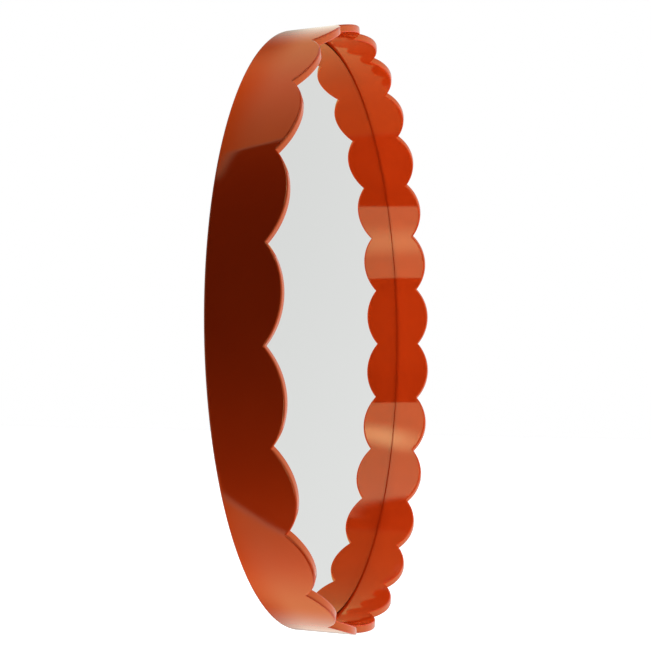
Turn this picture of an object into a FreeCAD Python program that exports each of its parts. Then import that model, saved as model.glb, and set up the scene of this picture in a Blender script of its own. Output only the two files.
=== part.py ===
import FreeCAD, Part
import math
import os

# A round wall mirror in a deep lacquered hoop with a scalloped front edge.
# Lengths are in millimetres. Pieces are drawn with X to the right, Y up and Z out from the wall,
# then turned so that the mirror faces -Y and stands upright on +Z.

# Hoop: a strip bent round, its front edge cut in scallops
hoop_r = 381.0
hoop_wall = 9.0
hoop_depth = 76.2
scallop_count = 25
scallop_rise = 17.5
lowest_notch_deg = -88.1

# Ledgers: four arcs glued inside the hoop behind the board
ledger_width = 18.0
ledger_depth = 7.4
ledger_setback = 0.6
ledger_joint = 1.0
ledger_names = ("ledger_right", "ledger_top", "ledger_left", "ledger_bottom")

# Backing board
board_t = 9.0
board_clearance = 0.5

# Glass with its film, and what bonds it to the board
glass_t = 4.0
glass_gap = 3.0
glass_arris = 1.0
film_t = 0.3
film_inset = 2.0
bond_t = 1.4
dab_r = 20.0
dab_circle_r = 250.0
dab_count = 8
tape_width = 24.0
tape_length = 480.0
tape_x_share = 0.48

# Rubber spacers between the edge of the glass and the hoop
spacer_length = 24.0
spacer_clearance = 0.1
spacer_cover = 1.5
spacer_count = 4

# Countersunk screws that hold the board on the ledgers
board_screw_d = 3.5
board_screw_head_d = 7.0
board_screw_head_h = 2.0
board_screw_length = 15.0
board_screw_shares = (-0.5, 0.0, 0.5)

# Brads that pin the ledgers to the hoop
brad_d = 1.2
brad_length = 24.0
brad_point = 1.5
brad_shares = (-0.75, -0.25, 0.25, 0.75)

# Hangers: a strap rolled round the bar of a D-ring, on each side of the board's back
hanger_x = 190.0
hanger_y = 170.0
strap_width = 12.0
strap_t = 1.2
strap_length = 40.0
strap_roll_end_deg = 290.0
strap_lap_deg = 25.0
strap_hole_d = 4.0
strap_hole_y = (21.0, 34.0)
ring_wire_d = 3.0
ring_inside_width = 16.0
ring_bend_r = 2.5
ring_leg = 2.0
ring_clearance = 0.3
pin_clearance = 0.08

# Pan-head screws that hold the straps
hanger_screw_d = 3.5
hanger_screw_head_d = 7.0
hanger_screw_head_h = 2.2
hanger_screw_head_ease = 1.2
hanger_screw_length = 8.0

# Cross recess in every screw head
recess_length = 4.0
recess_width = 0.9
recess_depth = 1.2

# Soft pads that keep the hoop off the wall
bumper_d = 12.0
bumper_t = 1.6
bumper_ease = 0.5
bumper_ledgers = ("ledger_top", "ledger_bottom")
bumper_shares = (-0.33, 0.33)

# How far cutting shapes run past what they cut
overrun = 5.0

# Places that follow from the sizes above
hoop_inside_r = hoop_r - hoop_wall
ledger_inside_r = hoop_inside_r - ledger_width
ledger_mid_r = hoop_inside_r - ledger_width / 2
ledger_half_deg = 360.0 / len(ledger_names) / 2
board_back = ledger_setback + ledger_depth
board_front = board_back + board_t
film_back = board_front + bond_t
glass_back = film_back + film_t
glass_front = glass_back + glass_t
glass_r = hoop_inside_r - glass_gap
tape_x = tape_x_share * dab_circle_r
ring_r = ring_wire_d / 2
roll_inside_r = ring_r + pin_clearance
roll_z = board_back - strap_t - ring_clearance - ring_r

OUT = FreeCAD.Vector(0, 0, 1)
TO_WALL = FreeCAD.Vector(0, 0, -1)
ORIGIN = FreeCAD.Vector(0, 0, 0)
X_AXIS = FreeCAD.Vector(1, 0, 0)
Y_AXIS = FreeCAD.Vector(0, 1, 0)


def at(x, y, z):
    return FreeCAD.Vector(x, y, z)


def disc(r, low, high, x=0, y=0):
    return Part.makeCylinder(r, high - low, at(x, y, low))


def arc_block(inner_r, outer_r, low, high, middle_deg, half_deg):
    """A stretch of a flat ring, as wide as two half angles."""
    sector = Part.makeCylinder(outer_r, high - low, at(0, 0, low), OUT, 2 * half_deg)
    sector = sector.cut(disc(inner_r, low - overrun, high + overrun))
    sector.rotate(ORIGIN, OUT, middle_deg - half_deg)
    return sector


def turned(shape, degrees):
    copy = shape.copy()
    copy.rotate(ORIGIN, OUT, degrees)
    return copy


def arc_mm_to_deg(length, r):
    return math.degrees(length / r)


# Scalloped hoop


def scallop_waste():
    """What is cut away in front of one scallop, its walls running square through the strip."""
    far = hoop_r + overrun
    near = hoop_inside_r - overrun
    half = far * math.tan(math.pi / scallop_count)
    root = hoop_depth - scallop_rise
    clear = hoop_depth + 2 * overrun
    curve = Part.Arc(at(far, -half, root), at(far, 0, hoop_depth), at(far, half, root)).toShape()
    corners = [(half, root), (half, clear), (-half, clear), (-half, root)]
    sides = Part.makePolygon([at(far, y, z) for y, z in corners])
    outer = Part.Wire([curve] + sides.Edges)
    narrowed = FreeCAD.Matrix()
    narrowed.scale(near / far, near / far, 1)
    inner = outer.transformGeometry(narrowed)
    return Part.makeLoft([inner, outer], True, True)


def scalloped_hoop(brads):
    """The hoop, hung with its lowest notch a little to the right of straight down."""
    blank = disc(hoop_r, 0, hoop_depth + overrun).cut(disc(hoop_inside_r, -overrun, hoop_depth + 2 * overrun))
    pitch = 360.0 / scallop_count
    waste = scallop_waste()
    hoop = blank.cut([turned(waste, i * pitch) for i in range(scallop_count)])
    return turned(hoop, lowest_notch_deg + pitch / 2).cut(brads)


# Board, ledgers and their fastenings


def ledger_middle_deg(index):
    return 2 * ledger_half_deg * index


def ledger_places(shares):
    """Angles at shares of each ledger's half width, from its middle."""
    return [
        ledger_middle_deg(i) + share * ledger_half_deg
        for i in range(len(ledger_names))
        for share in shares
    ]


def ledger(index, brads, screws):
    half = ledger_half_deg - arc_mm_to_deg(ledger_joint / 2, ledger_mid_r)
    middle = ledger_middle_deg(index)
    arc = arc_block(ledger_inside_r, hoop_inside_r, ledger_setback, board_back, middle, half)
    return arc.cut(brads + screws)


def brad(degrees):
    shank = Part.makeCylinder(brad_d / 2, brad_length - brad_point, at(ledger_inside_r, 0, 0), X_AXIS)
    point_start = at(ledger_inside_r + brad_length - brad_point, 0, 0)
    point = Part.makeCone(brad_d / 2, 0, brad_point, point_start, X_AXIS)
    pin = shank.fuse(point).removeSplitter()
    pin.translate(at(0, 0, ledger_setback + ledger_depth / 2))
    return turned(pin, degrees)


def all_brads():
    return [brad(degrees) for degrees in ledger_places(brad_shares)]


def cross_recess(z, side):
    """A cross cut into a screw head whose face is at z; side is 1 for a head facing +Z, else -1."""
    low = min(z - side * recess_depth, z + side * overrun)
    height = recess_depth + overrun
    arms = [(recess_length, recess_width), (recess_width, recess_length)]
    boxes = [Part.makeBox(w, h, height, at(-w / 2, -h / 2, low)) for w, h in arms]
    return boxes[0].fuse(boxes[1])


def board_screw(degrees, with_recess):
    shank = disc(board_screw_d / 2, board_front - board_screw_length, board_front)
    head_r = board_screw_head_d / 2
    head = Part.makeCone(head_r, board_screw_d / 2, board_screw_head_h, at(0, 0, board_front), TO_WALL)
    screw = shank.fuse(head).removeSplitter()
    if with_recess:
        screw = screw.cut(cross_recess(board_front, 1))
    screw.translate(at(ledger_mid_r, 0, 0))
    return turned(screw, degrees)


def all_board_screws(with_recess):
    return [board_screw(degrees, with_recess) for degrees in ledger_places(board_screw_shares)]


def backing_board(screws):
    board = disc(hoop_inside_r - board_clearance, board_back, board_front)
    return board.cut(screws + all_hanger_shanks())


# Glass and its bond


def mirror_glass():
    glass = disc(glass_r, glass_back, glass_front)
    return glass.makeChamfer(glass_arris, [e for e in glass.Edges if e.Closed])


def safety_film():
    return disc(glass_r - film_inset, film_back, glass_back)


def mastic_dabs():
    middle = disc(dab_r, board_front, film_back)
    outer = disc(dab_r, board_front, film_back, dab_circle_r)
    return [middle] + [turned(outer, 360.0 / dab_count * i) for i in range(dab_count)]


def tape_strips():
    size = (tape_width, tape_length, bond_t)
    return [
        Part.makeBox(*size, at(side * tape_x - tape_width / 2, -tape_length / 2, board_front))
        for side in (-1, 1)
    ]


def edge_spacers():
    low_r = glass_r + spacer_clearance
    high_r = hoop_inside_r - spacer_clearance
    half = arc_mm_to_deg(spacer_length / 2, high_r)
    step = 360.0 / spacer_count
    return [
        arc_block(low_r, high_r, board_front, glass_front - spacer_cover, step * (i + 0.5), half)
        for i in range(spacer_count)
    ]


# Hangers, drawn with the bar of the ring on the X axis


def rolled_end():
    """The strap's end, curled off the board, over the bar and back down to the strap."""
    outside_r = roll_inside_r + strap_t
    roll = disc(outside_r, -strap_width / 2, strap_width / 2)
    roll = roll.cut(disc(roll_inside_r, -strap_width, strap_width))
    open_deg = 360.0 - strap_roll_end_deg - strap_lap_deg
    opening = Part.makeCylinder(outside_r + overrun, 2 * strap_width, at(0, 0, -strap_width), OUT, open_deg)
    opening.rotate(ORIGIN, OUT, strap_roll_end_deg)
    roll = roll.cut(opening)
    roll.rotate(ORIGIN, Y_AXIS, -90)
    roll.translate(at(0, 0, roll_z))
    return roll


def strap(x):
    end_r = strap_width / 2
    straight = strap_length - end_r
    seat = board_back - strap_t
    plate = Part.makeBox(strap_width, straight, strap_t, at(-end_r, -straight, seat))
    whole = plate.fuse([disc(end_r, seat, board_back, 0, -straight), rolled_end()]).removeSplitter()
    for hole_y in strap_hole_y:
        whole = whole.cut(disc(strap_hole_d / 2, seat - overrun, board_back + overrun, 0, -hole_y))
    whole.translate(at(x, hanger_y, 0))
    return whole


def wire_bar(start, end):
    run = end.sub(start)
    return Part.makeCylinder(ring_r, run.Length, start, run)


def wire_bend(centre, bend_r, start_deg, sweep_deg):
    bend = Part.makeTorus(bend_r, ring_r, centre, OUT, -180, 180, sweep_deg)
    bend.rotate(centre, OUT, start_deg)
    return bend


def d_ring(x):
    half = (ring_inside_width + ring_wire_d) / 2
    inner = half - ring_bend_r
    pieces = [
        wire_bar(at(-inner, 0, 0), at(inner, 0, 0)),
        wire_bar(at(half, -ring_bend_r, 0), at(half, -ring_bend_r - ring_leg, 0)),
        wire_bar(at(-half, -ring_bend_r, 0), at(-half, -ring_bend_r - ring_leg, 0)),
        wire_bend(at(inner, -ring_bend_r, 0), ring_bend_r, 0, 90),
        wire_bend(at(-inner, -ring_bend_r, 0), ring_bend_r, 90, 90),
        wire_bend(at(0, -ring_bend_r - ring_leg, 0), half, 180, 180),
    ]
    ring = pieces[0].fuse(pieces[1:]).removeSplitter()
    ring.translate(at(x, hanger_y, roll_z))
    return ring


def hanger_screw_places():
    return [(side * hanger_x, hanger_y - hole_y) for side in (-1, 1) for hole_y in strap_hole_y]


def hanger_shank(x, y):
    seat = board_back - strap_t
    return disc(hanger_screw_d / 2, seat, seat + hanger_screw_length, x, y)


def all_hanger_shanks():
    return [hanger_shank(x, y) for x, y in hanger_screw_places()]


def hanger_screw(x, y):
    seat = board_back - strap_t
    top = seat - hanger_screw_head_h
    head = disc(hanger_screw_head_d / 2, top, seat)
    rim = [e for e in head.Edges if e.Closed and abs(e.BoundBox.ZMax - top) < hanger_screw_head_h / 2]
    head = head.makeFillet(hanger_screw_head_ease, rim).cut(cross_recess(top, -1))
    head.translate(at(x, y, 0))
    return head.fuse(hanger_shank(x, y)).removeSplitter()


# Pads on the back


def wall_bumpers():
    pads = []
    for name in bumper_ledgers:
        middle = ledger_middle_deg(ledger_names.index(name))
        for share in bumper_shares:
            pad = disc(bumper_d / 2, ledger_setback - bumper_t, ledger_setback, ledger_mid_r)
            rim = [e for e in pad.Edges if e.Closed and e.BoundBox.ZMax < 0]
            pad = pad.makeFillet(bumper_ease, rim)
            pads.append(turned(pad, middle + share * ledger_half_deg))
    return pads


def save(name, solids):
    """Turn the piece to face -Y and write it as one node."""
    shape = solids[0].copy() if len(solids) == 1 else Part.makeCompound(solids)
    shape.rotate(ORIGIN, X_AXIS, 90)
    shape.exportStep("parts/" + name + ".step")


os.makedirs("parts", exist_ok=True)
all_pins = all_brads()
plain_screws = all_board_screws(False)
save("scalloped_hoop", [scalloped_hoop(all_pins)])
for number, ledger_name in enumerate(ledger_names):
    save(ledger_name, [ledger(number, all_pins, plain_screws)])
save("ledger_brads", all_pins)
save("backing_board", [backing_board(plain_screws)])
save("board_screws", all_board_screws(True))
save("mastic_dabs", mastic_dabs())
save("tape_strips", tape_strips())
save("safety_film", [safety_film()])
save("mirror_glass", [mirror_glass()])
save("edge_spacers", edge_spacers())
for side_name, side in (("left", -1), ("right", 1)):
    save("hanger_strap_" + side_name, [strap(side * hanger_x)])
    save("d_ring_" + side_name, [d_ring(side * hanger_x)])
save("hanger_screws", [hanger_screw(x, y) for x, y in hanger_screw_places()])
save("wall_bumpers", wall_bumpers())
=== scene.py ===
import math

import bmesh
import bpy
from mathutils import Matrix, Vector


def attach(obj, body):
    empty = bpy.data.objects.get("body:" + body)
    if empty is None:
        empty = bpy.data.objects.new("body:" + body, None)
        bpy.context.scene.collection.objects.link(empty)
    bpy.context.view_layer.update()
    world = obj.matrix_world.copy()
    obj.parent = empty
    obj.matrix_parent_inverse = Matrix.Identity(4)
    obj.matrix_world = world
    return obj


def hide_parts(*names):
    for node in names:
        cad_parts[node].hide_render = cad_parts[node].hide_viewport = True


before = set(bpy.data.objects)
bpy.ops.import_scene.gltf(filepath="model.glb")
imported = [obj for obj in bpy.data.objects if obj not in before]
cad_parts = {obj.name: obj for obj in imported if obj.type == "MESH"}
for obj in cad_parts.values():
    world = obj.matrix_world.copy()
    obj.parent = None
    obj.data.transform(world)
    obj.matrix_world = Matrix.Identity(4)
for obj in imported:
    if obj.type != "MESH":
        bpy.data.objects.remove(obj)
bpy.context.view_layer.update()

# Viewpoint. The mirror is looked at almost edge-on, from its left and a little below its centre, with the
# picture centred on it by a small shift.
eye = Vector((-1.0975, -0.3312, -0.0582))
gaze_yaw = 0.28621
gaze_pitch = 0.07484
gaze = Vector((
    math.cos(gaze_pitch) * math.cos(gaze_yaw),
    math.cos(gaze_pitch) * math.sin(gaze_yaw),
    math.sin(gaze_pitch),
))
camera_data = bpy.data.cameras.new("viewpoint")
camera_data.sensor_width = 36
camera_data.lens = 47.290
camera_data.shift_x = -0.0057
camera_data.shift_y = -0.0290
camera_data.clip_start = 0.01
viewpoint = bpy.data.objects.new("viewpoint", camera_data)
viewpoint.location = eye
viewpoint.rotation_euler = gaze.to_track_quat("-Z", "Y").to_euler()
bpy.context.collection.objects.link(viewpoint)
bpy.context.scene.camera = viewpoint
bpy.context.scene.view_settings.view_transform = "Standard"


# Room. White for the eye and softly lit from over, under, front and right. The gloss sees a studio: pale on
# the right and in front, dark on the left, a warm board over and another under the mirror by the wall, and
# two screens and two lamps low in front of it.
white = (1.0, 1.0, 1.0)
amber = (1.0, 0.73, 0.30)
ivory = (0.98, 0.96, 0.80)
far_board_colours = ((1.0, 0.16, 0.03), (1.0, 0.28, 0.10))
near_board_colours = ((1.0, 0.33, 0.18), (1.0, 0.52, 0.24))
over_board_glow = 3.0
under_board_glow = 3.2
board_end_glow = 1.20
upper_screen = (0.535, 0.966)
lower_screen = (-0.852, -0.425)
screen_edge = 0.006
screen_glow = 3.2
lamp_height = 0.745
lamp_half_height = 0.11
lamp_lean = 0.35
lamp_half_width = 0.10
lamp_glow = 7.5
lamp_row_height = -0.67
lamp_row_half_height = 0.12
lamp_row_glow = 3.3
dark_glow = 0.02
over_fill = 4.2
under_fill = 6.2
right_fill = 0.50
front_fill = 2.5
smallest = 0.01

world = bpy.data.worlds.new("studio")
bpy.context.scene.world = world
world.use_nodes = True
room = world.node_tree
room.nodes.clear()


def link(tree, source, target):
    if isinstance(source, (int, float)):
        target.default_value = source
    else:
        tree.links.new(source, target)


def reckon(tree, operation, first, second=0.0, third=0.0):
    node = tree.nodes.new("ShaderNodeMath")
    node.operation = operation
    link(tree, first, node.inputs[0])
    link(tree, second, node.inputs[1])
    link(tree, third, node.inputs[2])
    return node.outputs[0]


def ramp_up(tree, value, start, end, low=0.0, high=1.0):
    node = tree.nodes.new("ShaderNodeMapRange")
    node.interpolation_type = "SMOOTHSTEP"
    link(tree, value, node.inputs["Value"])
    for name, number in (("From Min", start), ("From Max", end), ("To Min", low), ("To Max", high)):
        node.inputs[name].default_value = number
    return node.outputs["Result"]


def blended(tree, share, first, second):
    node = tree.nodes.new("ShaderNodeMix")
    node.data_type = "RGBA"
    link(tree, share, node.inputs["Factor"])
    for socket, colour in ((node.inputs["A"], first), (node.inputs["B"], second)):
        if isinstance(colour, tuple):
            socket.default_value = (*colour, 1)
        else:
            tree.links.new(colour, socket)
    return node.outputs["Result"]


def parted(tree, vector):
    node = tree.nodes.new("ShaderNodeSeparateXYZ")
    tree.links.new(vector, node.inputs[0])
    return node.outputs


def product(*values):
    result = values[0]
    for value in values[1:]:
        result = reckon(room, "MULTIPLY", result, value)
    return result


def total(*values):
    result = values[0]
    for value in values[1:]:
        result = reckon(room, "ADD", result, value)
    return result


def larger(first, second):
    return reckon(room, "MAXIMUM", first, second)


def rest_of(value):
    return reckon(room, "SUBTRACT", 1.0, value)


def fade(value, start, end, low=0.0, high=1.0):
    return ramp_up(room, value, start, end, low, high)


way = room.nodes.new("ShaderNodeTexCoord").outputs["Generated"]
rays = room.nodes.new("ShaderNodeLightPath").outputs
right, inward, up = parted(room, way)
steepness = reckon(room, "ABSOLUTE", up)
rise = larger(steepness, smallest)
right_lean = reckon(room, "DIVIDE", right, rise)
inward_lean = reckon(room, "DIVIDE", inward, rise)
behind_wall = fade(inward, 0.04, 0.10)
in_front = fade(inward, 0.10, 0.04)
left_side = fade(right, 0.06, 0.02)
right_side = fade(right, 0.13, 0.19)
far_right = fade(right, 0.20, 0.35)


# Each board has a straight front edge, and ends softly towards the middle height of the room.
def board(front_edge, steep, low):
    past_edge = fade(reckon(room, "SUBTRACT", inward_lean, front_edge), -0.01, 0.02)
    return product(past_edge, larger(fade(up, *steep), product(far_right, fade(up, *low))))


over_edge = reckon(
    room, "MINIMUM",
    reckon(room, "MULTIPLY_ADD", right_lean, -1.04, -0.090),
    reckon(room, "MULTIPLY_ADD", right_lean, -0.33, 0.283),
)
under_edge = reckon(room, "MULTIPLY_ADD", right_lean, -0.42, 0.2654)
over_share = board(over_edge, (0.70, 0.76), (0.25, 0.50))
under_share = board(under_edge, (-0.72, -0.76), (-0.25, -0.50))
board_share = product(total(over_share, under_share), behind_wall)

from_near = total(inward, product(right, 0.07), fade(up, -0.10, 0.10, -0.006, 0.012))
nearness = fade(from_near, 0.382, 0.336)
dimmer = product(rest_of(nearness), fade(right, 0.25, 0.60, 0.0, 0.62))
glow = total(
    product(over_share, fade(right, -0.05, 0.60, over_board_glow, board_end_glow)),
    product(under_share, fade(right, 0.10, 0.75, under_board_glow, board_end_glow)),
)
boards = product(glow, behind_wall, rest_of(dimmer))
to_the_right = fade(right, 0.0, 0.50)
board_colour = blended(
    room, nearness,
    blended(room, to_the_right, *far_board_colours),
    blended(room, to_the_right, *near_board_colours),
)
board_colour = blended(room, fade(right, 0.50, 0.80), board_colour, ivory)

# The screens and lamps stand low in front, on the left. Light that the lacquer has scattered sees them wider.
low_in_front = product(fade(inward, -0.10, -0.15), fade(inward, -0.40, -0.32))
scattered = fade(rays["Diffuse Depth"], 0.2, 0.8)
low_in_front = larger(low_in_front, product(in_front, scattered))


def screen(low, high):
    over_foot = fade(up, low - screen_edge, low + screen_edge)
    under_top = fade(up, high + screen_edge, high - screen_edge)
    return product(over_foot, under_top, low_in_front, left_side, screen_glow)


lean = reckon(room, "DIVIDE", inward, reckon(room, "MINIMUM", right, -smallest))
from_lamp_up = reckon(room, "DIVIDE", reckon(room, "SUBTRACT", up, lamp_height), lamp_half_height)
from_lamp_across = reckon(room, "DIVIDE", reckon(room, "SUBTRACT", lean, lamp_lean), lamp_half_width)
from_lamp = total(product(from_lamp_up, from_lamp_up), product(from_lamp_across, from_lamp_across))
from_lamp = reckon(room, "SQRT", from_lamp)
lamp = product(fade(from_lamp, 1.0, 0.0, 0.0, lamp_glow), low_in_front, left_side)
from_row = reckon(room, "ABSOLUTE", reckon(room, "SUBTRACT", up, lamp_row_height))
lamp_row = product(fade(from_row, lamp_row_half_height, 0.0, 0.0, lamp_row_glow), low_in_front, left_side)

# The rest of the room is pale on the right and in front, a little dimmer overhead and at the floor. What the
# glass shows of the hoop's own reflections is amber.
sideways = larger(fade(inward, -0.28, -0.42), fade(inward, 0.50, 0.70))
pale = product(fade(up, -0.30, 0.30, 0.88, 0.83), fade(steepness, 0.45, 0.90, 1.0, 0.80))
pale = product(pale, larger(right_side, sideways), fade(up, 0.33, 0.45, 1.0, 0.75))
pale = product(pale, rest_of(board_share), fade(inward, -0.75, -1.0, 1.0, 1.30))
gloss = larger(total(boards, screen(*upper_screen), screen(*lower_screen), lamp, lamp_row, dark_glow), pale)
seen_twice = fade(rays["Glossy Depth"], 1.2, 1.8)
warm_share = product(seen_twice, right_side, larger(in_front, fade(up, 0.30, -0.30)))

by_the_wall = fade(inward, -0.10, 0.10)
fill = total(
    product(fade(up, 0.82, 0.94, 0.0, over_fill), by_the_wall),
    product(fade(up, -0.82, -0.94, 0.0, under_fill), by_the_wall),
    fade(right, -0.20, 0.40, 0.0, right_fill),
    fade(inward, -0.90, -0.98, 0.0, front_fill),
)
mirrored = larger(rays["Is Glossy Ray"], rays["Is Transmission Ray"])
strength = room.nodes.new("ShaderNodeMix")
room.links.new(mirrored, strength.inputs["Factor"])
room.links.new(fill, strength.inputs["A"])
room.links.new(gloss, strength.inputs["B"])
seen = room.nodes.new("ShaderNodeMix")
room.links.new(rays["Is Camera Ray"], seen.inputs["Factor"])
room.links.new(strength.outputs["Result"], seen.inputs["A"])
seen.inputs["B"].default_value = 1.0
tint = blended(room, product(warm_share, mirrored), white, amber)
tint = blended(room, product(board_share, mirrored), tint, board_colour)
sky = room.nodes.new("ShaderNodeBackground")
room.links.new(tint, sky.inputs["Color"])
room.links.new(seen.outputs["Result"], sky.inputs["Strength"])
room_out = room.nodes.new("ShaderNodeOutputWorld")
room.links.new(sky.outputs["Background"], room_out.inputs["Surface"])

# One soft screen stands in front of the mirror, right of its left edge, and lights the inside of the hoop.
screen_data = bpy.data.lights.new("front_screen", "AREA")
screen_data.shape = "RECTANGLE"
screen_data.size = 0.66
screen_data.size_y = 1.10
screen_data.energy = 5.0
front_screen = bpy.data.objects.new("front_screen", screen_data)
front_screen.location = (0.02, -0.62, 0.0)
front_screen.rotation_euler = (math.radians(90), 0, 0)
front_screen.visible_camera = False
front_screen.visible_glossy = False
bpy.context.collection.objects.link(front_screen)


# Floor. A plain pale floor, painted and matt. It lies below the mirror, which hangs clear of it, and shows
# white to the eye.
floor_level = -0.60
floor_half_width = 6.0
floor_glow = 0.5

floor_mesh = bpy.data.meshes.new("floor")
build = bmesh.new()
bmesh.ops.create_grid(build, x_segments=1, y_segments=1, size=floor_half_width)
bmesh.ops.translate(build, verts=build.verts, vec=(0, 0, floor_level))
build.to_mesh(floor_mesh)
build.free()
floor = bpy.data.objects.new("floor", floor_mesh)
bpy.context.collection.objects.link(floor)
floor.visible_diffuse = False
floor.visible_glossy = False
floor.visible_transmission = False
floor.visible_shadow = False
paint = bpy.data.materials.new("pale_floor")
paint.use_nodes = True
tree = paint.node_tree
base = tree.nodes["Principled BSDF"]
place = tree.nodes.new("ShaderNodeTexCoord").outputs["Object"]
cloud = tree.nodes.new("ShaderNodeTexNoise")
cloud.inputs["Scale"].default_value = 3.0
tree.links.new(place, cloud.inputs["Vector"])
floor_colour = blended(tree, cloud.outputs["Fac"], (0.90, 0.90, 0.895), (0.93, 0.93, 0.925))
tree.links.new(floor_colour, base.inputs["Base Color"])
base.inputs["Roughness"].default_value = 0.9
base.inputs["Emission Color"].default_value = (1, 1, 1, 1)
to_eye = tree.nodes.new("ShaderNodeLightPath").outputs["Is Camera Ray"]
tree.links.new(reckon(tree, "MULTIPLY", to_eye, floor_glow), base.inputs["Emission Strength"])
floor_mesh.materials.append(paint)


# Hoop. A strip of bent wood closed to a hoop, its front edge cut in twenty-five equal scallops and every edge
# eased. It is sprayed all over with high-gloss orange lacquer and polished. A painted highlight makes the
# eased edges a little paler, and painted shade darkens the inside in the narrow gap round the glass.
hoop_radius = 0.381
hoop_wall = 0.009
hoop_depth = 0.0762
hoop_inside = hoop_radius - hoop_wall
scallops = 25
scallop_pitch = math.tau / scallops
lowest_notch = math.radians(-88.1)
scallop_radius = 0.07669
chord_radius = 0.386
steps_per_scallop = 28
ease = 0.0020
ease_steps = 4
guard = 0.0011
hoop_middle_cuts = (0.020, 0.040)
scallops_start = -0.050
sliver = 0.0001
notch_width = 0.001
gap_mouth = -0.0222
gap_dark = -0.0205
# Painted highlight: how far in from the inside and outside faces the eased edges are painted paler.
edge_highlight_starts = 0.0002
edge_highlight_full = 0.0018
# Painted shade: how far from the inside face the hoop is painted dark in the gap behind the glass.
gap_shade_starts = 0.0030
gap_shade_full = 0.0015
lacquer_colours = ((0.60, 0.040, 0.0035), (0.66, 0.047, 0.0045))
# Colour of the painted highlight on the eased edges.
edge_highlight_colour = (0.57, 0.083, 0.014)
# Colour of the painted shade in the gap round the glass.
gap_shade_colour = (0.12, 0.008, 0.001)


def new_piece(name, build, *materials):
    mesh = bpy.data.meshes.new(name)
    build.to_mesh(mesh)
    build.free()
    for material in materials:
        mesh.materials.append(material)
    piece = bpy.data.objects.new(name, mesh)
    bpy.context.collection.objects.link(piece)
    return piece


def new_finish(name):
    material = bpy.data.materials.new(name)
    material.use_nodes = True
    tree = material.node_tree
    place = tree.nodes.new("ShaderNodeTexCoord").outputs["Object"]
    return material, tree, tree.nodes["Principled BSDF"], place


def noise(tree, place, scale, detail=3.0, rough=0.5):
    node = tree.nodes.new("ShaderNodeTexNoise")
    node.inputs["Scale"].default_value = scale
    node.inputs["Detail"].default_value = detail
    node.inputs["Roughness"].default_value = rough
    tree.links.new(place, node.inputs["Vector"])
    return node.outputs["Fac"]


def from_axis(tree, across, height):
    squares = reckon(tree, "MULTIPLY_ADD", across, across, reckon(tree, "MULTIPLY", height, height))
    return reckon(tree, "SQRT", squares)


def relief(tree, base, height, distance, strength=1.0, under=None):
    node = tree.nodes.new("ShaderNodeBump")
    node.inputs["Distance"].default_value = distance
    node.inputs["Strength"].default_value = strength
    tree.links.new(height, node.inputs["Height"])
    if under is not None:
        tree.links.new(under, node.inputs["Normal"])
    tree.links.new(node.outputs["Normal"], base.inputs["Normal"])
    return node.outputs["Normal"]


lacquer, tree, base, place = new_finish("orange_lacquer")
flow = noise(tree, place, 9.0, 2.0)
across, depth, height = parted(tree, place)
radius = from_axis(tree, across, height)
# Painted highlight: the eased edges, away from both flat faces of the wall, are painted paler.
off_inside = ramp_up(tree, radius, hoop_inside + edge_highlight_starts, hoop_inside + edge_highlight_full)
off_outside = ramp_up(tree, radius, hoop_radius - edge_highlight_starts, hoop_radius - edge_highlight_full)
painted_edge_highlight = reckon(tree, "MULTIPLY", off_inside, off_outside)
# Painted shade: the inside of the hoop behind the glass's face, in the gap, is painted dark.
by_inside = ramp_up(tree, radius, hoop_inside + gap_shade_starts, hoop_inside + gap_shade_full)
painted_gap_shade = reckon(tree, "MULTIPLY", ramp_up(tree, depth, gap_mouth, gap_dark), by_inside)
colour = blended(tree, ramp_up(tree, flow, 0.3, 0.7), *lacquer_colours)
colour = blended(tree, painted_edge_highlight, colour, edge_highlight_colour)
colour = blended(tree, painted_gap_shade, colour, gap_shade_colour)
tree.links.new(colour, base.inputs["Base Color"])
tree.links.new(ramp_up(tree, noise(tree, place, 60.0, 2.0), 0.3, 0.7, 0.022, 0.045), base.inputs["Roughness"])
base.inputs["IOR"].default_value = 1.5
base.inputs["Specular IOR Level"].default_value = 0.72
base.inputs["Specular Tint"].default_value = (0.62, 0.47, 0.21, 1)
sag = relief(tree, base, noise(tree, place, 22.0, 1.0), 0.00012, 0.5)
relief(tree, base, noise(tree, place, 420.0, 2.0), 0.000006, 0.5, sag)

build = bmesh.new()
bmesh.ops.create_grid(build, x_segments=1, y_segments=1, size=0.5)
bmesh.ops.scale(build, verts=build.verts, vec=(hoop_wall, hoop_depth, 1))
bmesh.ops.translate(build, verts=build.verts, vec=(hoop_radius - hoop_wall / 2, -hoop_depth / 2, 0))
bmesh.ops.bevel(build, geom=build.verts[:], offset=ease, segments=ease_steps, profile=0.5,
                affect="VERTICES", material=-1)
bmesh.ops.delete(build, geom=build.faces[:], context="FACES_ONLY")
cut_depths = (ease + guard, hoop_middle_cuts[0], hoop_middle_cuts[1], hoop_depth - ease - guard)
cut_sides = (ease + guard, hoop_wall - ease - guard)
cuts = [((0, -depth, 0), (0, 1, 0)) for depth in cut_depths]
cuts += [((hoop_radius - side, 0, 0), (1, 0, 0)) for side in cut_sides]
for point, square_to in cuts:
    bmesh.ops.bisect_plane(build, geom=build.verts[:] + build.edges[:], plane_co=point, plane_no=square_to)
bmesh.ops.spin(build, geom=build.verts[:] + build.edges[:], cent=(0, 0, 0), axis=(0, -1, 0), dvec=(0, 0, 0),
               angle=math.tau, steps=scallops * steps_per_scallop, use_merge=True)
bmesh.ops.rotate(build, verts=build.verts, matrix=Matrix.Rotation(-lowest_notch, 3, "Y"))


def scallop_turn(point):
    return (math.atan2(point.z, point.x) - lowest_notch) % scallop_pitch


for vert in build.verts:
    if vert.co.y < scallops_start:
        reach = chord_radius * math.tan(scallop_turn(vert.co) - scallop_pitch / 2)
        vert.co.y += scallop_radius - math.sqrt(scallop_radius ** 2 - reach ** 2)

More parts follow.
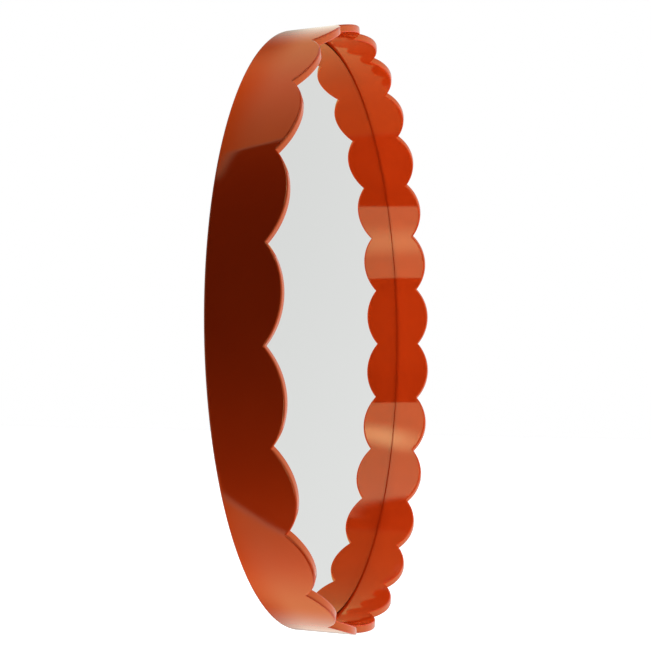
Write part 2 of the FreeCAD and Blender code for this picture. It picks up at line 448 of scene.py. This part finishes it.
# Each notch between two scallops is a crisp crease across the edge of the strip.
for edge in build.edges:
    turns = [min(scallop_turn(v.co), scallop_pitch - scallop_turn(v.co)) for v in edge.verts]
    radii = [math.hypot(v.co.x, v.co.z) for v in edge.verts]
    at_notch = max(turns) < notch_width and max(v.co.y for v in edge.verts) < scallops_start
    if at_notch and min(radii) < hoop_radius - sliver and max(radii) > hoop_inside + sliver:
        edge.smooth = False
for face in build.faces:
    face.smooth = True
bmesh.ops.recalc_face_normals(build, faces=build.faces)
hoop = new_piece("lacquered_hoop", build, lacquer)
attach(hoop, "mirror")
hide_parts("scalloped_hoop")


# Glass. One round silvered glass, four millimetres thick, its front edge taken off in a fine polished
# arris; the back carries the silver under grey paint.
glass_radius = 0.369
glass_front = -0.0227
glass_thick = 0.004
arris = 0.0005
flat = 0.99
silver_face, cut_edge, painted_back = 0, 1, 2

silver, tree, base, place = new_finish("silver")
tint = noise(tree, place, 4.0, 1.0)
tree.links.new(blended(tree, tint, (0.795, 0.812, 0.796), (0.805, 0.820, 0.804)), base.inputs["Base Color"])
base.inputs["Metallic"].default_value = 1.0
tree.links.new(ramp_up(tree, noise(tree, place, 35.0), 0.3, 0.7, 0.0, 0.006), base.inputs["Roughness"])


def stretched(tree, place, scale):
    node = tree.nodes.new("ShaderNodeMapping")
    node.inputs["Scale"].default_value = scale
    tree.links.new(place, node.inputs["Vector"])
    return node.outputs["Vector"]


# The cut edge of the glass is painted orange-red, a painted reflection of the lacquered hoop round it.
glass_edge, tree, base, place = new_finish("glass_edge_painted_reflection")
streak = noise(tree, stretched(tree, place, (900, 60, 900)), 1.0)
tree.links.new(blended(tree, streak, (0.40, 0.045, 0.012), (0.50, 0.07, 0.02)), base.inputs["Base Color"])
tree.links.new(ramp_up(tree, streak, 0.2, 0.8, 0.05, 0.14), base.inputs["Roughness"])

back_paint, tree, base, place = new_finish("grey_back_paint")
speck = noise(tree, place, 260.0)
tree.links.new(blended(tree, speck, (0.20, 0.22, 0.23), (0.25, 0.27, 0.28)), base.inputs["Base Color"])
base.inputs["Roughness"].default_value = 0.55
relief(tree, base, speck, 0.00003)

build = bmesh.new()
bmesh.ops.create_circle(build, cap_ends=True, cap_tris=False, segments=600, radius=glass_radius)
grown = bmesh.ops.extrude_face_region(build, geom=build.faces[:])["geom"]
risen = [part for part in grown if isinstance(part, bmesh.types.BMVert)]
bmesh.ops.translate(build, verts=risen, vec=(0, 0, glass_thick))
rim = [e for e in build.edges if min(v.co.z for v in e.verts) > glass_thick - sliver]
bmesh.ops.bevel(build, geom=rim, offset=arris, segments=1, profile=0.5, affect="EDGES", material=-1)
bmesh.ops.rotate(build, verts=build.verts, matrix=Matrix.Rotation(math.radians(90), 3, "X"))
bmesh.ops.translate(build, verts=build.verts, vec=(0, glass_front + glass_thick, 0))
bmesh.ops.recalc_face_normals(build, faces=build.faces)
for face in build.faces:
    facing = face.normal.y
    face.material_index = silver_face if facing < -flat else painted_back if facing > flat else cut_edge
glass = new_piece("silvered_glass", build, silver, glass_edge, back_paint)
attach(glass, "mirror")
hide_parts("mirror_glass")


# Film. A pale grey safety film of plain plastic. It is stuck to the back paint of the glass, a little short
# of its edge, and holds the glass together if it breaks.
def refinish(node, material):
    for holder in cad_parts[node].material_slots:
        holder.material = material


film, tree, base, place = new_finish("safety_film")
film_colour = blended(tree, noise(tree, place, 30.0), (0.62, 0.66, 0.68), (0.74, 0.77, 0.78))
tree.links.new(film_colour, base.inputs["Base Color"])
base.inputs["Roughness"].default_value = 0.35
relief(tree, base, noise(tree, place, 90.0), 0.00005)
refinish("safety_film", film)


# Bond. Dabs of mirror mastic, pressed flat, and two strips of closed-cell foam tape. They hold film and
# glass to the board.
mastic, tree, base, place = new_finish("mirror_mastic")
mastic_colour = blended(tree, noise(tree, place, 120.0), (0.62, 0.60, 0.54), (0.74, 0.72, 0.66))
tree.links.new(mastic_colour, base.inputs["Base Color"])
base.inputs["Roughness"].default_value = 0.6
relief(tree, base, noise(tree, place, 150.0), 0.0003)
refinish("mastic_dabs", mastic)

foam, tree, base, place = new_finish("foam_tape")
cell = tree.nodes.new("ShaderNodeTexVoronoi")
cell.inputs["Scale"].default_value = 1400.0
tree.links.new(place, cell.inputs["Vector"])
cell_wall = ramp_up(tree, cell.outputs["Distance"], 0.1, 0.6)
tree.links.new(blended(tree, cell_wall, (0.70, 0.70, 0.67), (0.86, 0.86, 0.83)), base.inputs["Base Color"])
base.inputs["Roughness"].default_value = 0.85
relief(tree, base, cell.outputs["Distance"], 0.0002)
refinish("tape_strips", foam)


# Edge spacers. Four short blocks of black rubber, pushed into the gap round the glass. They centre it, and
# the two lower ones carry it.
rubber, tree, base, place = new_finish("black_rubber")
grit = noise(tree, place, 700.0)
tree.links.new(blended(tree, grit, (0.012, 0.012, 0.013), (0.035, 0.034, 0.033)), base.inputs["Base Color"])
base.inputs["Roughness"].default_value = 0.75
relief(tree, base, grit, 0.00008)
refinish("edge_spacers", rubber)


# Backing board. A round of brown fibreboard, sawn and sanded, that carries the glass. Its rim shows in the
# shadow gap, so it is sprayed like the hoop.
raw_edge = 0.3672
sprayed_edge = 0.3684
sprayed_colour = (0.55, 0.038, 0.004)

fibreboard, tree, base, place = new_finish("fibreboard")
fibre = noise(tree, place, 420.0, 6.0, 0.7)
cloud = noise(tree, place, 14.0, 3.0)
fleck = blended(tree, ramp_up(tree, fibre, 0.35, 0.68), (0.30, 0.20, 0.115), (0.47, 0.34, 0.215))
wash = blended(tree, ramp_up(tree, cloud, 0.3, 0.7), (0.36, 0.25, 0.15), (0.44, 0.32, 0.20))
raw_face = blended(tree, 0.45, fleck, wash)
sides = parted(tree, place)
sprayed = ramp_up(tree, from_axis(tree, sides["X"], sides["Z"]), raw_edge, sprayed_edge)
tree.links.new(blended(tree, sprayed, raw_face, sprayed_colour), base.inputs["Base Color"])
tree.links.new(ramp_up(tree, fibre, 0.3, 0.7, 0.62, 0.8), base.inputs["Roughness"])
relief(tree, base, fibre, 0.00012)
refinish("backing_board", fibreboard)


# Ledgers. Four quarter arcs of birch plywood, sawn and sanded. They are glued and pinned inside the hoop,
# behind the board.
layer_angle_per_metre = 4200.0

ply, tree, base, place = new_finish("birch_plywood")
layer = reckon(tree, "SINE", reckon(tree, "MULTIPLY", parted(tree, place)["Y"], layer_angle_per_metre))
grain = noise(tree, stretched(tree, place, (14, 60, 260)), 1.0, 5.0, 0.65)
face_wood = blended(tree, ramp_up(tree, grain, 0.35, 0.7), (0.60, 0.42, 0.24), (0.76, 0.58, 0.37))
edge_wood = blended(tree, ramp_up(tree, layer, -0.2, 0.2), (0.40, 0.25, 0.13), (0.70, 0.52, 0.32))
facing = parted(tree, tree.nodes.new("ShaderNodeNewGeometry").outputs["Normal"])
flat_share = ramp_up(tree, reckon(tree, "ABSOLUTE", facing["Y"]), 0.4, 0.6)
tree.links.new(blended(tree, flat_share, edge_wood, face_wood), base.inputs["Base Color"])
tree.links.new(ramp_up(tree, grain, 0.3, 0.7, 0.5, 0.65), base.inputs["Roughness"])
relief(tree, base, grain, 0.00006)
for name in ("ledger_top", "ledger_right", "ledger_bottom", "ledger_left"):
    refinish(name, ply)


# Brads, screws and hangers. Bright wire brads pin the ledgers to the hoop. Zinc-plated screws hold the board
# and the two zinc-plated steel straps, whose rolled ends hold the D-rings.
bright, tree, base, place = new_finish("bright_wire")
drawn = noise(tree, stretched(tree, place, (3000, 3000, 3000)), 1.0)
tree.links.new(blended(tree, drawn, (0.50, 0.50, 0.49), (0.66, 0.66, 0.65)), base.inputs["Base Color"])
base.inputs["Metallic"].default_value = 1.0
tree.links.new(ramp_up(tree, drawn, 0.3, 0.7, 0.22, 0.38), base.inputs["Roughness"])
refinish("ledger_brads", bright)

zinc, tree, base, place = new_finish("zinc_plate")
spangle = noise(tree, place, 900.0, 2.0)
tone = noise(tree, place, 160.0, 2.0)
tree.links.new(blended(tree, tone, (0.56, 0.57, 0.57), (0.72, 0.71, 0.67)), base.inputs["Base Color"])
base.inputs["Metallic"].default_value = 1.0
tree.links.new(ramp_up(tree, spangle, 0.3, 0.7, 0.2, 0.36), base.inputs["Roughness"])
relief(tree, base, spangle, 0.00001)
refinish("board_screws", zinc)
refinish("hanger_screws", zinc)
for side in ("left", "right"):
    refinish("hanger_strap_" + side, zinc)
    refinish("d_ring_" + side, zinc)


# Wall bumpers. Four round pads of pressed grey felt, glued to the ledgers. They keep the lacquered edge off
# the wall.
felt, tree, base, place = new_finish("pressed_felt")
fluff = noise(tree, place, 1600.0, 4.0, 0.7)
felt_colour = blended(tree, ramp_up(tree, fluff, 0.3, 0.7), (0.17, 0.155, 0.14), (0.33, 0.31, 0.285))
tree.links.new(felt_colour, base.inputs["Base Color"])
base.inputs["Roughness"].default_value = 0.95
base.inputs["Sheen Weight"].default_value = 0.3
relief(tree, base, fluff, 0.0003)
refinish("wall_bumpers", felt)
